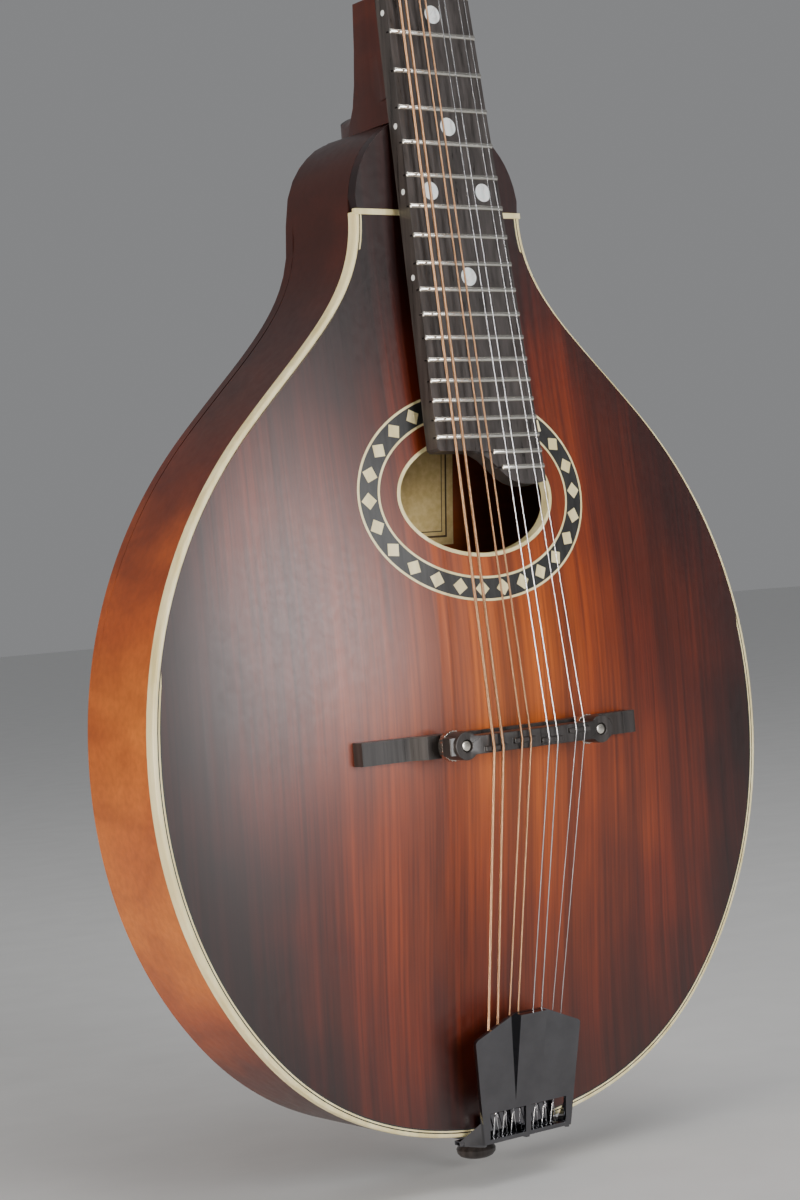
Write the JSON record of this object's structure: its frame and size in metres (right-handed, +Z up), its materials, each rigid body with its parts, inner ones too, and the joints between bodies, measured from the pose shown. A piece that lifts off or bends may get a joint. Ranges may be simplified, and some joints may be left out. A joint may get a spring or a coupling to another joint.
{
  "type": "mandolin",
  "caption": "A-style mandolin with a carved arched top, oval soundhole, adjustable two-piece bridge, tailpiece, wound and plain string courses, and geared tuners.",
  "frame": {"origin": "centre of the neck just behind the nut, where the two arms of a wall hanger's yoke hold it", "axes": "+Z up along the body and neck to the headstock, +X towards the treble side, -Y out of the front of the instrument"},
  "size_m": [0.2542, 0.101, 0.6273],
  "materials": {
    "spruce_top": "satin sunburst lacquer over spruce",
    "maple_stained": "satin lacquer over stained maple",
    "plain_wood": "bare wood",
    "ivoroid": "satin",
    "black_inlay": "satin",
    "label_paper": "matt paper",
    "ebony": "oiled",
    "plain_steel": "plain",
    "nickel": "polished nickel silver",
    "pearl": "polished mother of pearl",
    "bone": "polished bone",
    "bronze_string": "bronze wound",
    "steel_string": "plain steel",
    "chrome": "polished",
    "tuner_button": "button on a nickel shaft"
  },
  "bodies": {
    "instrument": {"top_plate": "spruce_top", "back_plate": "maple_stained", "ribs": "maple_stained", "head_block": "plain_wood", "tail_block": "plain_wood", "top_lining": "plain_wood", "back_lining": "plain_wood", "top_binding": "ivoroid", "top_purfling": "black_inlay", "soundhole_binding": "ivoroid", "rosette_band": "black_inlay", "rosette_lines": "ivoroid", "rosette_diamonds": "ivoroid", "top_brace": "plain_wood", "label": "label_paper", "neck": "maple_stained", "heel_cap": "ebony", "truss_rod": "plain_steel", "truss_rod_cover": "ebony", "fingerboard": "ebony", "frets": "nickel", "position_dots": "pearl", "side_dots": "pearl", "nut": "bone", "headstock_overlay": "ebony", "bridge_base": "ebony", "bridge_posts": "nickel", "strings_g": "bronze_string", "strings_d": "bronze_string", "strings_a": "steel_string", "strings_e": "steel_string", "tailpiece": "chrome", "tailpiece_screws": "chrome", "end_pin": "ebony", "tuner_plate_bass": "chrome", "tuner_plate_treble": "chrome", "tuner_screws": "chrome", "post_bushings": "nickel"},
    "tuner_post_1": {"tuner_post_1": "nickel"},
    "tuner_key_1": {"tuner_key_1": "tuner_button"},
    "tuner_post_2": {"tuner_post_2": "nickel"},
    "tuner_key_2": {"tuner_key_2": "tuner_button"},
    "tuner_post_3": {"tuner_post_3": "nickel"},
    "tuner_key_3": {"tuner_key_3": "tuner_button"},
    "tuner_post_4": {"tuner_post_4": "nickel"},
    "tuner_key_4": {"tuner_key_4": "tuner_button"},
    "tuner_post_5": {"tuner_post_5": "nickel"},
    "tuner_key_5": {"tuner_key_5": "tuner_button"},
    "tuner_post_6": {"tuner_post_6": "nickel"},
    "tuner_key_6": {"tuner_key_6": "tuner_button"},
    "tuner_post_7": {"tuner_post_7": "nickel"},
    "tuner_key_7": {"tuner_key_7": "tuner_button"},
    "tuner_post_8": {"tuner_post_8": "nickel"},
    "tuner_key_8": {"tuner_key_8": "tuner_button"},
    "saddle": {"bridge_saddle": "ebony"},
    "wheel_bass": {"thumbwheel_bass": "nickel"},
    "wheel_treble": {"thumbwheel_treble": "nickel"},
    "rod_nut": {"truss_rod_nut": "plain_steel"}
  },
  "joints": [
    {"name": "post_turn_1", "type": "hinge", "parent": "instrument", "child": "tuner_post_1", "pos_m": [-0.021, 0.00461, 0.02967], "axis": [0, 0.9488, -0.3158], "continuous": true},
    {"name": "key_turn_1", "type": "hinge", "parent": "instrument", "child": "tuner_key_1", "pos_m": [-0.021, 0.02676, 0.03036], "axis": [1, 0, 0], "continuous": true},
    {"name": "post_turn_2", "type": "hinge", "parent": "instrument", "child": "tuner_post_2", "pos_m": [-0.021, 0.01203, 0.05197], "axis": [0, 0.9488, -0.3158], "continuous": true},
    {"name": "key_turn_2", "type": "hinge", "parent": "instrument", "child": "tuner_key_2", "pos_m": [-0.021, 0.03418, 0.05266], "axis": [1, 0, 0], "continuous": true},
    {"name": "post_turn_3", "type": "hinge", "parent": "instrument", "child": "tuner_post_3", "pos_m": [-0.021, 0.01945, 0.07427], "axis": [0, 0.9488, -0.3158], "continuous": true},
    {"name": "key_turn_3", "type": "hinge", "parent": "instrument", "child": "tuner_key_3", "pos_m": [-0.021, 0.0416, 0.07496], "axis": [1, 0, 0], "continuous": true},
    {"name": "post_turn_4", "type": "hinge", "parent": "instrument", "child": "tuner_post_4", "pos_m": [-0.021, 0.02687, 0.09656], "axis": [0, 0.9488, -0.3158], "continuous": true},
    {"name": "key_turn_4", "type": "hinge", "parent": "instrument", "child": "tuner_key_4", "pos_m": [-0.021, 0.04902, 0.09725], "axis": [1, 0, 0], "continuous": true},
    {"name": "post_turn_5", "type": "hinge", "parent": "instrument", "child": "tuner_post_5", "pos_m": [0.021, 0.00461, 0.02967], "axis": [0, 0.9488, -0.3158], "continuous": true},
    {"name": "key_turn_5", "type": "hinge", "parent": "instrument", "child": "tuner_key_5", "pos_m": [0.021, 0.02676, 0.03036], "axis": [1, 0, 0], "continuous": true},
    {"name": "post_turn_6", "type": "hinge", "parent": "instrument", "child": "tuner_post_6", "pos_m": [0.021, 0.01203, 0.05197], "axis": [0, 0.9488, -0.3158], "continuous": true},
    {"name": "key_turn_6", "type": "hinge", "parent": "instrument", "child": "tuner_key_6", "pos_m": [0.021, 0.03418, 0.05266], "axis": [1, 0, 0], "continuous": true},
    {"name": "post_turn_7", "type": "hinge", "parent": "instrument", "child": "tuner_post_7", "pos_m": [0.021, 0.01945, 0.07427], "axis": [0, 0.9488, -0.3158], "continuous": true},
    {"name": "key_turn_7", "type": "hinge", "parent": "instrument", "child": "tuner_key_7", "pos_m": [0.021, 0.0416, 0.07496], "axis": [1, 0, 0], "continuous": true},
    {"name": "post_turn_8", "type": "hinge", "parent": "instrument", "child": "tuner_post_8", "pos_m": [0.021, 0.02687, 0.09656], "axis": [0, 0.9488, -0.3158], "continuous": true},
    {"name": "key_turn_8", "type": "hinge", "parent": "instrument", "child": "tuner_key_8", "pos_m": [0.021, 0.04902, 0.09725], "axis": [1, 0, 0], "continuous": true},
    {"name": "saddle_height", "type": "slide", "parent": "instrument", "child": "saddle", "axis": [0, -1, 0], "range_m": [-0.0015, 0]},
    {"name": "wheel_bass_turn", "type": "hinge", "parent": "saddle", "child": "wheel_bass", "pos_m": [-0.0284, -0.037, -0.3564], "axis": [0, -1, 0], "range_deg": [-800, 5]},
    {"name": "wheel_treble_turn", "type": "hinge", "parent": "saddle", "child": "wheel_treble", "pos_m": [0.0284, -0.037, -0.3564], "axis": [0, -1, 0], "range_deg": [-800, 5]},
    {"name": "truss_nut_turn", "type": "hinge", "parent": "instrument", "child": "rod_nut", "pos_m": [0, 0.00486, 0.00875], "axis": [0, 0.0943, 0.9955], "range_deg": [-360, 180]}
  ],
  "couplings": [
    {"joint": "post_turn_1", "follows": "key_turn_1", "ratio": -0.066667},
    {"joint": "post_turn_2", "follows": "key_turn_2", "ratio": -0.066667},
    {"joint": "post_turn_3", "follows": "key_turn_3", "ratio": -0.066667},
    {"joint": "post_turn_4", "follows": "key_turn_4", "ratio": -0.066667},
    {"joint": "post_turn_5", "follows": "key_turn_5", "ratio": -0.066667},
    {"joint": "post_turn_6", "follows": "key_turn_6", "ratio": -0.066667},
    {"joint": "post_turn_7", "follows": "key_turn_7", "ratio": -0.066667},
    {"joint": "post_turn_8", "follows": "key_turn_8", "ratio": -0.066667},
    {"joint": "wheel_bass_turn", "follows": "saddle_height", "rad_per_m": 8976},
    {"joint": "wheel_treble_turn", "follows": "saddle_height", "rad_per_m": 8976}
  ]
}
